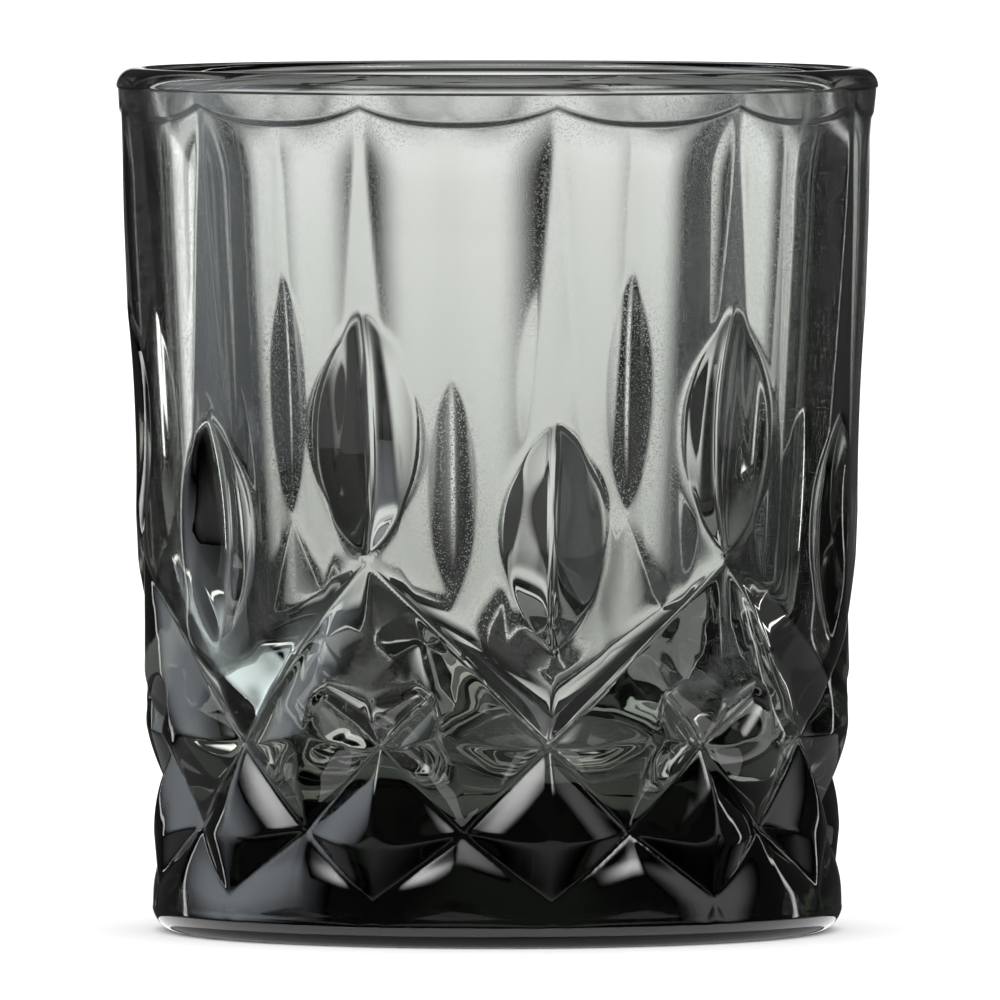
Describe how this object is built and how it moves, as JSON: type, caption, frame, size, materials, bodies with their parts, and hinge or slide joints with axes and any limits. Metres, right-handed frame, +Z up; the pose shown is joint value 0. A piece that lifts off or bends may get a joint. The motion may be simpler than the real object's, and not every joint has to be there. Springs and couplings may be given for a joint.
{
  "type": "whiskey tumbler",
  "caption": "Low straight-sided tumbler of smoke-grey pressed glass, with flat panels, pointed petals and a diamond-cut lower wall over a thick base.",
  "frame": {"origin": "centre of the foot, on the surface that the tumbler stands on", "axes": "+Z up along the tumbler's axis; the front, which faces -Y, has an upper petal 21 degrees to its left"},
  "size_m": [0.08, 0.08, 0.0905],
  "materials": {
    "smoke_glass": "clear smoke-grey pressed glass, fire-polished, with a faint pressed grain on the plain panels"
  },
  "bodies": {
    "root": {"tumbler": "smoke_glass"}
  },
  "joints": []
}
